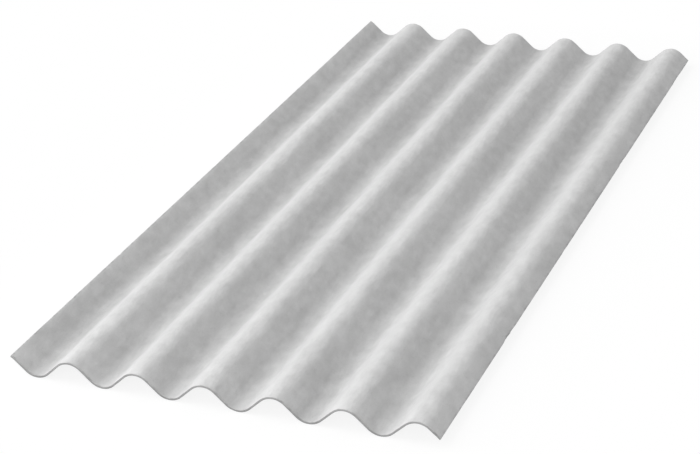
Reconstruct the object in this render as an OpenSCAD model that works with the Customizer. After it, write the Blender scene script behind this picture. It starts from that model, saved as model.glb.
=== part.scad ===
// Corrugated fibre cement roofing sheet, pressed in one piece from a flat board.
// The corrugations run along Y. The sheet lies on its troughs on the plane z = 0,
// and the origin is below the middle of the sheet.

/* [Sheet] */
// Length of the sheet, along the corrugations
sheet_length = 2440; // [600:10:3660]
// Width of the sheet, across the corrugations
sheet_width = 1100; // [900:1:1150]
// Thickness of the board
board_thickness = 5; // [4:0.5:8]

/* [Corrugations] */
// Distance from one crest to the next
wave_pitch = 177; // [146:1:200]
// Height of a crest above a trough, on the same side of the board
wave_height = 51; // [36:1:60]
// Length of the straight part of each flank, between its two bends
flank_straight = 40; // [4:1:60]
// Distance from the left edge to the middle of the first trough
left_lip = 70; // [40:1:85]

/* [Hidden] */

// Each bend is made of flat facets that touch its arc, so the two faces of the board stay
// parallel. With an even number of them the middle facet of a trough is level, and the sheet
// rests on it. The first and the last are halves, and run on into the flanks.
BEND_FACETS = 14;
// A corner between two facets is left out where it comes closer than this to an edge
CORNER_TO_EDGE = 0.5;

// The middle line of the board is an arc at each trough and at each crest, and a straight
// flank between them that touches both. Bends are numbered along X: bend 0 is the first
// trough, bend 1 the first crest, bend 2 the next trough and so on. Distances along X are
// measured from the middle of the first trough, and heights from the lowest middle point.
half_pitch = wave_pitch / 2;
bend_radius = (half_pitch ^ 2 + wave_height ^ 2 - flank_straight ^ 2) / (4 * wave_height);
flank_angle = atan2(2 * bend_radius, flank_straight)
    - atan2(2 * bend_radius - wave_height, half_pitch);
facet_turn = 2 * flank_angle / BEND_FACETS;

// A station is a point of the middle line, and the step from there that leads to the top face
// of a board 2 mm thick: [[x, z], step]
function middle(station) = station[0];
function step_up(station) = station[1];

// The station on a bend, at an angle from the bend's middle. A stretch of 1 puts it on the arc.
function bend_station(bend, angle, stretch = 1) =
    let(side = bend % 2 == 0 ? -1 : 1,
        arc_centre = [bend * half_pitch, wave_height / 2 + side * (wave_height / 2 - bend_radius)],
        outward = stretch * [sin(angle), side * cos(angle)])
    [arc_centre + bend_radius * outward, side * outward];

// The station at a distance x, on a bend's arc or on the flank beside it
function station_at(x) =
    let(bend = round(x / half_pitch),
        across = x - bend * half_pitch,
        arc_reach = bend_radius * sin(flank_angle),
        across_arc = max(-arc_reach, min(arc_reach, across)),
        on_arc = bend_station(bend, asin(across_arc / bend_radius)),
        up = step_up(on_arc))
    [middle(on_arc) + (across - across_arc) * [1, -up.x / up.y], up];

// The station where the board is cut square to its faces, with its outermost corner at
// x = corner. Each try allows for how far the corner stands out from the last try's station.
function edge_station(corner, outward, x, tries = 4) =
    tries == 0
        ? station_at(x)
        : edge_station(corner, outward,
            corner - outward * board_thickness / 2 * abs(step_up(station_at(x)).x),
            tries - 1);

left_corner = -left_lip;
right_corner = sheet_width - left_lip;
left_end = edge_station(left_corner, -1, left_corner);
right_end = edge_station(right_corner, 1, right_corner);

// Every station of the section: the left edge, the corners between facets, the right edge
stations = [
    left_end,
    for (bend = [floor(left_corner / half_pitch) : ceil(right_corner / half_pitch)],
         corner = [1 : BEND_FACETS])
        let(station = bend_station(bend, (corner - 0.5) * facet_turn - flank_angle,
                                   stretch = 1 / cos(facet_turn / 2)))
        if (middle(station).x > middle(left_end).x + CORNER_TO_EDGE
            && middle(station).x < middle(right_end).x - CORNER_TO_EDGE)
            station,
    right_end,
];

// One face of the board, from its left edge to its right edge
function face(distance) =
    [for (station = stations) middle(station) + distance * step_up(station)];

module section() {
    top_face = face(board_thickness / 2);
    bottom_face = face(-board_thickness / 2);
    polygon(concat(top_face, [for (i = [len(bottom_face) - 1 : -1 : 0]) bottom_face[i]]));
}

module corrugated_sheet() {
    color("lightgray")
        translate([-(left_corner + right_corner) / 2, sheet_length / 2, board_thickness / 2])
            rotate([90, 0, 0])
                linear_extrude(sheet_length)
                    section();
}

corrugated_sheet();
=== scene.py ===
"""Corrugated fibre cement sheet: one pressed board lying on its troughs on a pale floor."""

import math

import bpy
import numpy as np
from mathutils import Matrix, Vector


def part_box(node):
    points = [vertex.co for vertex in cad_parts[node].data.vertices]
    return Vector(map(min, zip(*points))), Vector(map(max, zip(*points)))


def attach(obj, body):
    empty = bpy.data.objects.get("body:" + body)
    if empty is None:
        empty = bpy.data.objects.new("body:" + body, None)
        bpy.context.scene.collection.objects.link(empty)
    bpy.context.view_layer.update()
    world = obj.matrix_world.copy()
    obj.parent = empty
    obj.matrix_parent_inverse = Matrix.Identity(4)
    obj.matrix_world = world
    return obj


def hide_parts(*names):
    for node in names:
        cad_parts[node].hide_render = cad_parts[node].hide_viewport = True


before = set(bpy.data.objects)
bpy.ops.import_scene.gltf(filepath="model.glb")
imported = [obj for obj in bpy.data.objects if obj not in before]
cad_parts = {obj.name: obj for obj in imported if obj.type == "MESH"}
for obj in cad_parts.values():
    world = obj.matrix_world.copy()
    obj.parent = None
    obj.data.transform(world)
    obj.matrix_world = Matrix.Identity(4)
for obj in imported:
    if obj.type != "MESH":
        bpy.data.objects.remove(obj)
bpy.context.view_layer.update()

NODE = "corrugated_sheet"

# ---------------------------------------------------------------- sizes, in metres and radians

LOW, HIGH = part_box(NODE)
WIDTH, LENGTH, HEIGHT = HIGH - LOW
BOARD = 0.005  # thickness of the board
PITCH = 0.177  # from one crest to the next
FLANK = 0.040  # straight part of a flank, between two bends
LIP = 0.070  # from the left edge to the middle of the first trough

WAVE = HEIGHT - BOARD
HALF_PITCH = PITCH / 2
BEND_RADIUS = (HALF_PITCH**2 + WAVE**2 - FLANK**2) / (4 * WAVE)
FLANK_ANGLE = math.atan2(2 * BEND_RADIUS, FLANK) - math.atan2(2 * BEND_RADIUS - WAVE, HALF_PITCH)
BEND_RUN = BEND_RADIUS * FLANK_ANGLE  # along the board, from the middle of a bend to its end
HALF_RUN = 2 * BEND_RUN + FLANK  # along the board, from a trough to the next crest

ARRIS = 0.0007  # radius of the worn arrises round the cut faces
SWELL = 0.0005  # half of the most that the board strays from its true surface
SWELL_WAVES = 60  # plane waves that make up this unevenness
SWELL_LENGTH = 0.035  # the shortest of them, across the sheet
DRAWN_OUT = 2.5  # how much longer it is along the sheet than across
WANDER = 0.0005  # how far a cut strays inwards from its true line
CHIPS = ((0.0014, 0.0036), (0.0022, 0.0022))  # deepest chip: left and right edge, near and far end
CHIPS_A_METRE = 9
CHIP_REACH = (0.010, 0.025)  # half the length of a chip along the cut
WORN_STRIP = 0.025  # how far from a cut its wear shifts the board

POINTS = (200, 216, 4)  # grid points across the sheet, along it and through the board
FINE_BENDS = 2.0  # how much closer the grid lies on the bends than on the flanks
FINE_ENDS = 0.04  # over which the grid's extra closeness at its ends falls to about a third
SAMPLES = 5001  # steps of a running total
RUN_SAMPLES = 40001  # steps in which the cuts are looked for


# ---------------------------------------------------------------- shape of the board


def middle_line(run):
    """Point and slope of the board's middle line at a run, which is the distance along the board
    from the middle of the first trough. From a trough up to a crest the slope rises evenly along
    an arc, stays level with the flank's angle along the straight part, and falls evenly along
    a second arc. Each part adds its own step in x and in z. Every other half wave is the same
    one mirrored."""
    half = np.floor(run / HALF_RUN)
    rising = half % 2 == 0
    within = run - half * HALF_RUN
    climbed = np.where(rising, within, HALF_RUN - within)
    low_bend = np.clip(climbed, 0, BEND_RUN) / BEND_RADIUS
    flank = np.clip(climbed - BEND_RUN, 0, FLANK)
    high_bend = np.clip(climbed - BEND_RUN - FLANK, 0, BEND_RUN) / BEND_RADIUS
    last = FLANK_ANGLE - high_bend
    x = BEND_RADIUS * (np.sin(low_bend) + math.sin(FLANK_ANGLE) - np.sin(last))
    x += flank * math.cos(FLANK_ANGLE)
    z = BEND_RADIUS * (1 - np.cos(low_bend) + np.cos(last) - math.cos(FLANK_ANGLE))
    z += flank * math.sin(FLANK_ANGLE)
    slope = low_bend - high_bend
    across = np.where(rising, half * HALF_PITCH + x, (half + 1) * HALF_PITCH - x)
    return across, z, np.where(rising, slope, -slope)


def edge_runs():
    """The runs at which the board is cut square to its faces. The outermost corner of a cut
    stands out from the middle line by half the board, and at most twice the swell, times the
    sine of the slope, and it reaches the sheet's full width."""
    run = np.linspace(-HALF_RUN, WIDTH / HALF_PITCH * HALF_RUN, RUN_SAMPLES)
    across, _, slope = middle_line(run)
    lean = (BOARD / 2 + 2 * SWELL) * np.abs(np.sin(slope))
    left = np.interp(-LIP, across - lean, run)
    right = np.interp(WIDTH - LIP, across + lean, run)
    return left, right


def density_across(run):
    """How close the grid lies across the sheet: closer on the bends than on the flanks."""
    from_bend = np.abs(run - HALF_RUN * np.round(run / HALF_RUN))
    return np.where(from_bend < BEND_RUN, FINE_BENDS, 1.0)


def density_along(y):
    """How close the grid lies along the sheet: up to three times as close at its ends, by an
    exponential of the distance from them."""
    return 1 + 2 * np.exp((np.abs(y) - LENGTH / 2) / FINE_ENDS)


def grid_lines(low, high, count, density):
    """Values from one arris to another, at even steps of the running total of the density, and
    two more on each arris: the corner, which becomes the middle of the arris's curve, and the
    value that comes half way between that middle and the curve's end."""
    fine = np.linspace(low + ARRIS, high - ARRIS, SAMPLES)
    total = np.cumsum(density(fine))
    inner = np.interp(np.linspace(total[0], total[-1], count), total, fine)
    half_way = ARRIS * (1 - math.tan(math.pi / 8))
    return np.concatenate([[low, low + half_way], inner, [high - half_way, high]])


def box_grid(us, vs, ws):
    """The closed surface of a box as points and quads. The box is a lattice of three sets of
    values, and each of its six sides is the grid of lattice points where one index is the
    first or the last. The sides share the points along their edges."""
    lattice = np.arange(len(us) * len(vs) * len(ws)).reshape(len(us), len(vs), len(ws))
    sides = [
        (lattice[0].T, lattice[-1]),
        (lattice[:, 0], lattice[:, -1].T),
        (lattice[:, :, 0].T, lattice[:, :, -1]),
    ]
    quads = np.concatenate([
        np.stack([s[:-1, :-1], s[1:, :-1], s[1:, 1:], s[:-1, 1:]], axis=-1).reshape(-1, 4)
        for pair in sides
        for s in pair
    ])
    used, quads = np.unique(quads, return_inverse=True)
    i, j, k = np.unravel_index(used, lattice.shape)
    return np.stack([us[i], vs[j], ws[k]], axis=1), quads.reshape(-1, 4)


def round_arrises(points, low, high):
    """Each point is put at the arris's radius from the box that lies that radius inside the
    first one, straight out from its nearest point on it."""
    inner = np.clip(points, low + ARRIS, high - ARRIS)
    out = points - inner
    return inner + ARRIS * out / np.linalg.norm(out, axis=1, keepdims=True)


def swell(run, y):
    """A slow unevenness from -1 to 1: the sum of plane waves over the unrolled board, divided by
    its own largest value. The waves have seeded directions and phases, and lengths from the
    shortest to eight times that. Each is as high as it is long, and all are drawn out along the
    sheet."""
    rng = np.random.default_rng(7)
    length = SWELL_LENGTH * 8 ** rng.uniform(0, 1, SWELL_WAVES)
    heading = rng.uniform(0, math.pi, SWELL_WAVES)
    phase = rng.uniform(0, 2 * math.pi, SWELL_WAVES)
    turns = (np.outer(run, np.cos(heading)) + np.outer(y / DRAWN_OUT, np.sin(heading))) / length
    total = np.sin(2 * math.pi * turns + phase) @ length
    return total / np.abs(total).max()


def bite(along, depth, deepest, seed):
    """How far a cut is worn inwards, at places along it and at depths in the board. A slow
    wander is the mean of eight sine waves, moved to lie between 0 and 1. A chip is a hump, the
    squared cosine of the distance from its middle. It falls evenly from its full depth at one
    face of the board to nothing at the other, and few chips come near the deepest."""
    rng = np.random.default_rng(seed)
    length = rng.uniform(0.03, 0.25, 8)
    waves = np.sin(2 * math.pi * along[:, None] / length + rng.uniform(0, 6, 8))
    span = np.ptp(along)
    count = int(span * CHIPS_A_METRE)
    middle = along.min() + rng.uniform(0, span, count)
    reach = rng.uniform(*CHIP_REACH, count)
    deep = deepest * rng.uniform(0.1, 1, count) ** 2
    face = rng.choice([-1, 1], count)
    away = np.clip(np.abs(along[:, None] - middle) / reach, 0, 1)
    hump = np.cos(away * math.pi / 2) ** 2 * (0.5 + face * depth[:, None] / BOARD)
    return WANDER * (0.5 + waves.mean(axis=1) / 2) + (hump * deep).max(axis=1)


def wear_edges(slab, low, high):
    """Moves the points near each of the four cuts inwards by that cut's bite, evenly less with
    their distance from it, and not at all past the worn strip."""
    worn = slab.copy()
    for axis, along in ((0, 1), (1, 0)):
        for side, (edge, inwards) in enumerate(((low[axis], 1), (high[axis], -1))):
            near = np.clip(1 - np.abs(slab[:, axis] - edge) / WORN_STRIP, 0, 1)
            touched = near > 0
            depth = slab[touched, 2]
            step = bite(slab[touched, along], depth, CHIPS[axis][side], 11 + 2 * axis + side)
            worn[touched, axis] += inwards * near[touched] * step
    return worn


def sheet_points():
    """The board as a flat slab with rounded, worn arrises, bent along the middle line: a point
    keeps its y, and its depth in the slab is carried square to the middle line. The swell is
    added to the depth, lowered on the crests and raised in the troughs, so that the board stays
    within the sheet's height. Returns the points and quads, the points of the slab before its
    edges were worn, and which of them lie on a cut."""
    left, right = edge_runs()
    low = np.array([left, -LENGTH / 2, -BOARD / 2])
    high = np.array([right, LENGTH / 2, BOARD / 2])
    densities = (density_across, density_along, np.ones_like)
    flat, quads = box_grid(*map(grid_lines, low, high, POINTS, densities))
    slab = round_arrises(flat, low, high)
    run, y, depth = wear_edges(slab, low, high).T
    across, z, slope = middle_line(run)
    off = depth + SWELL * (swell(run, y) - (2 * z / WAVE - 1))
    points = np.stack(
        [
            across - off * np.sin(slope) + LIP - WIDTH / 2,
            y,
            z + off * np.cos(slope) + BOARD / 2,
        ],
        axis=1,
    )
    cut = np.any((flat[:, :2] == low[:2]) | (flat[:, :2] == high[:2]), axis=1)
    return points, quads, slab, cut


def make_mesh(name, points, quads):
    mesh = bpy.data.meshes.new(name)
    mesh.from_pydata(points.tolist(), [], quads.tolist())
    mesh.polygons.foreach_set("use_smooth", np.ones(len(quads), bool))
    mesh.update()
    return mesh


def add_values(mesh, name, values):
    layer = mesh.attributes.new(name, "FLOAT", "POINT")
    layer.data.foreach_set("value", np.asarray(values, np.float32))


def make_sheet():
    points, quads, slab, cut = sheet_points()
    mesh = make_mesh("sheet", points, quads)
    add_values(mesh, "cut_face", cut)
    add_values(mesh, "depth", slab[:, 2] / BOARD + 0.5)
    add_values(mesh, "rise", middle_line(slab[:, 0])[2] / FLANK_ANGLE)
    unrolled = mesh.uv_layers.new(name="unrolled")
    unrolled.data.foreach_set("uv", slab[quads.ravel(), :2].astype(np.float32).ravel())
    sheet = bpy.data.objects.new("sheet", mesh)
    bpy.context.scene.collection.objects.link(sheet)
    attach(sheet, "root")
    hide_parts(NODE)
    return sheet


# ---------------------------------------------------------------- shader maths


class Value:
    """A value that varies over the surface. It wraps a socket, and an expression on values
    adds Math nodes."""

    def __init__(self, shader, socket):
        self.shader, self.socket = shader, socket

    def math(self, operation, *others):
        inputs = dict(enumerate((self, *others)))
        return self.shader.add("ShaderNodeMath", {"operation": operation}, inputs)

    def __add__(self, other):
        return self.math("ADD", other)

    def __sub__(self, other):
        return self.math("SUBTRACT", other)

    def __rsub__(self, other):
        return self.shader.add("ShaderNodeMath", {"operation": "SUBTRACT"}, {0: other, 1: self})

    def __mul__(self, other):
        return self.math("MULTIPLY", other)

    __radd__ = __add__
    __rmul__ = __mul__

    def ramp(self, low, high):
        """0 below low, 1 above high, and a smooth step between them. High may be the lower."""
        settings = {"interpolation_type": "SMOOTHSTEP"}
        return self.shader.add("ShaderNodeMapRange", settings, {0: self, 1: low, 2: high})


class Shader:
    """The nodes of a material or of the world."""

    def __init__(self, owner):
        owner.use_nodes = True
        self.owner, self.tree = owner, owner.node_tree
        self.tree.nodes.clear()

    def add(self, kind, settings=None, inputs=None, output=0):
        """Adds a node: first its settings, then the values or links of its sockets. Returns one
        of its outputs, if it has any."""
        node = self.tree.nodes.new(kind)
        for key, setting in (settings or {}).items():
            setattr(node, key, setting)
        for key, value in (inputs or {}).items():
            if isinstance(value, Value):
                self.tree.links.new(value.socket, node.inputs[key])
            else:
                node.inputs[key].default_value = value
        return Value(self, node.outputs[output]) if node.outputs else None

    def attribute(self, name):
        return self.add("ShaderNodeAttribute", {"attribute_name": name}, output="Fac")

    def noise(self, place, scale, detail=2.0, stretch=None, rough=0.5):
        """Noise from -0.5 to 0.5, with features about 1 / scale metres wide. Stretch makes them
        that many times longer along each axis, and rough is how strong each finer layer is
        beside the last."""
        if stretch:
            shorter = [1 / s for s in stretch]
            place = self.add("ShaderNodeVectorMath", {"operation": "MULTIPLY"}, {0: place, 1: shorter})
        inputs = {"Vector": place, "Scale": scale, "Detail": detail, "Roughness": rough}
        return self.add("ShaderNodeTexNoise", None, inputs) - 0.5

    def surface(self, **inputs):
        """The material's finish: constants go straight to the shader's sockets."""
        named = {key.replace("_", " "): value for key, value in inputs.items()}
        finish = self.add("ShaderNodeBsdfPrincipled", None, named)
        self.add("ShaderNodeOutputMaterial", None, {"Surface": finish})
        return self.owner


# ---------------------------------------------------------------- finishes

TONE = 0.56  # how much light the dry cement gives back
PALE_END = 0.15  # how far the paler part reaches from the near end
GRIME = 0.006  # how far the dark marks reach in from the cuts


def fibre_cement():
    """Dry pale cement, a little paler on the crests, as painted light, than in the troughs,
    as painted shade, and paler towards the near end. The mottling is
    weaker high on the flanks that rise from left to right, and dark marks lie beside the cuts."""
    shader = Shader(bpy.data.materials.new("fibre_cement"))
    place = shader.add("ShaderNodeTexCoord", None, None, "Object")
    unrolled = shader.add("ShaderNodeUVMap", {"uv_map": "unrolled"})
    level = shader.add("ShaderNodeSeparateXYZ", None, {0: place}, "Z") * (2 / HEIGHT) - 1
    along = shader.add("ShaderNodeSeparateXYZ", None, {0: place}, "Y")
    near_end = along.ramp(PALE_END - LENGTH / 2, -LENGTH / 2)
    cut = shader.attribute("cut_face")
    depth = shader.attribute("depth")
    underside = depth.ramp(0.3, 0.1) * (1 - cut)
    marks = shader.noise(place, 55, 3).ramp(-0.1, 0.2) * (1 - cut * 0.7)
    grimy = cut_distance(shader, unrolled).ramp(GRIME, 0) * marks

    smooth = shader.attribute("rise").ramp(0, 0.6) * level.ramp(-0.3, 0.3)
    clouds = shader.noise(place, 7, 3, stretch=(1, 2, 1))
    mottle = shader.noise(place, 36, 5, stretch=(1, 1.6, 1), rough=0.57)
    streaks = shader.noise(place, 80, 2, stretch=(1, 18, 1))
    grain = shader.noise(place, 600, 3)
    unevenness = shader.noise(place, 28, 3, stretch=(1, 2.4, 1))
    fibres = hair_fibres(shader, place)
    pinholes = pits(shader, place)
    weave = felt_weave(shader, unrolled) * underside
    layers = (depth * 40 + mottle * 4).math("SINE") * cut

    mottling = clouds * 0.22 + mottle * 0.40 + streaks * 0.07
    # level * 0.07 is painted light on the crests and painted shade in the troughs.
    tone = 1 + level * 0.07 + mottling * (1 - smooth * 0.45) + grain * 0.24
    tone = tone - fibres * 0.12 - pinholes * 0.25 + weave * 0.06 + layers * 0.08 - grimy * 0.35
    # The cut faces are 40 % darker, partly for their rougher cement and partly as painted shade.
    tone = tone * (1 - cut * 0.4 - underside * 0.05) * (1 + near_end * 0.06) * TONE

    height = unevenness * 0.004 + mottle * 0.0002 + streaks * 0.0001 + grain * 0.00012
    height = height + fibres * 0.00005 - pinholes * 0.0003 + weave * 0.00016 + layers * 0.00008
    bump = shader.add("ShaderNodeBump", None, {"Height": height, "Distance": 1.0})
    return shader.surface(
        Base_Color=tone,
        Roughness=0.86 + clouds * 0.1 + grain * 0.1,
        Normal=bump,
        **{"Specular IOR Level": 0.3},
    )


def cut_distance(shader, unrolled):
    """How far a place lies from the nearest of the four cuts, over the unrolled board."""
    left, right = edge_runs()
    across = shader.add("ShaderNodeSeparateXYZ", None, {0: unrolled}, "X") - (left + right) / 2
    along = shader.add("ShaderNodeSeparateXYZ", None, {0: unrolled}, "Y")
    from_side = (right - left) / 2 - across.math("ABSOLUTE")
    from_end = LENGTH / 2 - along.math("ABSOLUTE")
    return from_side.math("MINIMUM", from_end)


def hair_fibres(shader, place):
    """Hairlines where stretched noise crosses zero, and only in some places."""
    hair = shader.noise(place, 130, 3, stretch=(1, 3, 1)).math("ABSOLUTE").ramp(0.012, 0.003)
    return hair * shader.noise(place, 60, 1).ramp(0.02, 0.12)


def pits(shader, place):
    """Pinholes about a millimetre wide round the points of a cell pattern, where noise is
    above its mean."""
    cells = shader.add("ShaderNodeTexVoronoi", None, {"Vector": place, "Scale": 110.0})
    return cells.ramp(0.09, 0.05) * shader.noise(place, 33, 1).ramp(0.0, 0.1)


def felt_weave(shader, unrolled):
    """Crossed threads 2.4 mm apart over the unrolled board: the product of two sines, one
    along the sheet and one across it, with a slow wander."""
    wander = shader.noise(unrolled, 30, 1) * 6
    along = shader.add("ShaderNodeSeparateXYZ", None, {0: unrolled}, "X")
    across = shader.add("ShaderNodeSeparateXYZ", None, {0: unrolled}, "Y")
    threads = 2 * math.pi / 0.0024
    return (along * threads + wander).math("SINE") * (across * threads + wander).math("SINE")


def pale_floor():
    """A matt white floor. The camera sees it part lit by itself round the sheet, where it keeps
    a soft shadow, and plain white further off."""
    shader = Shader(bpy.data.materials.new("pale_floor"))
    place = shader.add("ShaderNodeTexCoord", None, None, "Object")
    across = shader.add("ShaderNodeSeparateXYZ", None, {0: place}, "X").math("ABSOLUTE")
    along = shader.add("ShaderNodeSeparateXYZ", None, {0: place}, "Y").math("ABSOLUTE")
    away = (across - WIDTH / 2).math("MAXIMUM", along - LENGTH / 2)
    share = away.ramp(*FLOOR_FADE) * (1 - FLOOR_GLOW) + FLOOR_GLOW
    matt = shader.add("ShaderNodeBsdfDiffuse", None, {"Color": (0.92, 0.92, 0.92, 1)})
    glow = shader.add("ShaderNodeEmission", None, {"Color": (1, 1, 1, 1), "Strength": 1.0})
    mixed = shader.add("ShaderNodeMixShader", None, {0: light_path(shader) * share, 1: matt, 2: glow})
    shader.add("ShaderNodeOutputMaterial", None, {"Surface": mixed})
    return shader.owner


def light_path(shader):
    """1 for what the camera sees, directly, mirrored or through glass."""
    rays = [
        shader.add("ShaderNodeLightPath", None, None, name)
        for name in ("Is Camera Ray", "Is Glossy Ray", "Is Transmission Ray")
    ]
    return rays[0].math("MAXIMUM", rays[1]).math("MAXIMUM", rays[2])


# ---------------------------------------------------------------- floor, lamps and camera

FLOOR_SIZE = 60.0
FLOOR_GLOW = 0.88  # how much of the floor's white is its own round the sheet
FLOOR_FADE = (0.03, 0.35)  # from the sheet's outline, where that share rises to all of it
AMBIENT = 0.60  # strength of the even light
LAMPS = {
    # name: (place, width, power in watts)
    "key": ((-7.6, -2.0, 6.5), 9.0, 806),
    "front": ((-1.8, -9.5, 5.2), 5.0, 190),
}


def make_floor():
    half = FLOOR_SIZE / 2
    corners = np.array([(-half, -half, 0), (half, -half, 0), (half, half, 0), (-half, half, 0)])
    mesh = make_mesh("floor", corners, np.array([[0, 1, 2, 3]]))
    mesh.materials.append(pale_floor())
    floor = bpy.data.objects.new("floor", mesh)
    bpy.context.scene.collection.objects.link(floor)


def make_lamps():
    for name, (place, width, power) in LAMPS.items():
        lamp = bpy.data.lights.new(name, "AREA")
        lamp.shape = "DISK"
        lamp.size = width
        lamp.energy = power
        holder = bpy.data.objects.new(name, lamp)
        holder.location = place
        holder.rotation_mode = "QUATERNION"
        holder.rotation_quaternion = Vector(place).to_track_quat("Z", "Y")
        bpy.context.scene.collection.objects.link(holder)


def make_world():
    """Even soft light from all round, and plain white where the camera looks past the floor."""
    world = bpy.data.worlds.new("studio")
    bpy.context.scene.world = world
    shader = Shader(world)
    colour = (1, 1, 1, 1)
    ambient = shader.add("ShaderNodeBackground", None, {"Color": colour, "Strength": AMBIENT})
    white = shader.add("ShaderNodeBackground", None, {"Color": colour, "Strength": 1.0})
    mixed = shader.add("ShaderNodeMixShader", None, {0: light_path(shader), 1: ambient, 2: white})
    shader.add("ShaderNodeOutputWorld", None, {"Surface": mixed})


AZIMUTH = math.radians(22.44)  # of the camera, round from the near end towards the right
ELEVATION = math.radians(25.58)
ROLL = math.radians(-2.40)
DISTANCE = 5.773  # from the middle of the sheet, along the line of sight
ASIDE = (0.1367, 0.1046)  # how far the middle lies right of and above the line of sight
LENS = 105.2


def make_camera():
    """The camera stands back from the middle of the sheet, a little aside so that the middle
    falls off the centre of the picture."""
    back = Vector((
        math.sin(AZIMUTH) * math.cos(ELEVATION),
        -math.cos(AZIMUTH) * math.cos(ELEVATION),
        math.sin(ELEVATION),
    ))
    level = Vector((math.cos(AZIMUTH), math.sin(AZIMUTH), 0))
    right = Matrix.Rotation(ROLL, 3, back) @ level
    up = back.cross(right)
    centre = Vector((0, 0, 0.025))
    place = centre + back * DISTANCE - right * ASIDE[0] - up * ASIDE[1]
    lens = bpy.data.cameras.new("camera")
    lens.lens = LENS
    lens.sensor_width = 36.0
    lens.clip_end = 200.0
    camera = bpy.data.objects.new("camera", lens)
    turn = Matrix((right, up, back)).transposed()
    camera.matrix_world = Matrix.Translation(place) @ turn.to_4x4()
    bpy.context.scene.collection.objects.link(camera)
    bpy.context.scene.camera = camera


# ---------------------------------------------------------------- the scene

make_camera()
make_world()
make_lamps()
make_floor()
sheet = make_sheet()
sheet.data.materials.append(fibre_cement())

bpy.context.scene.view_settings.view_transform = "Standard"
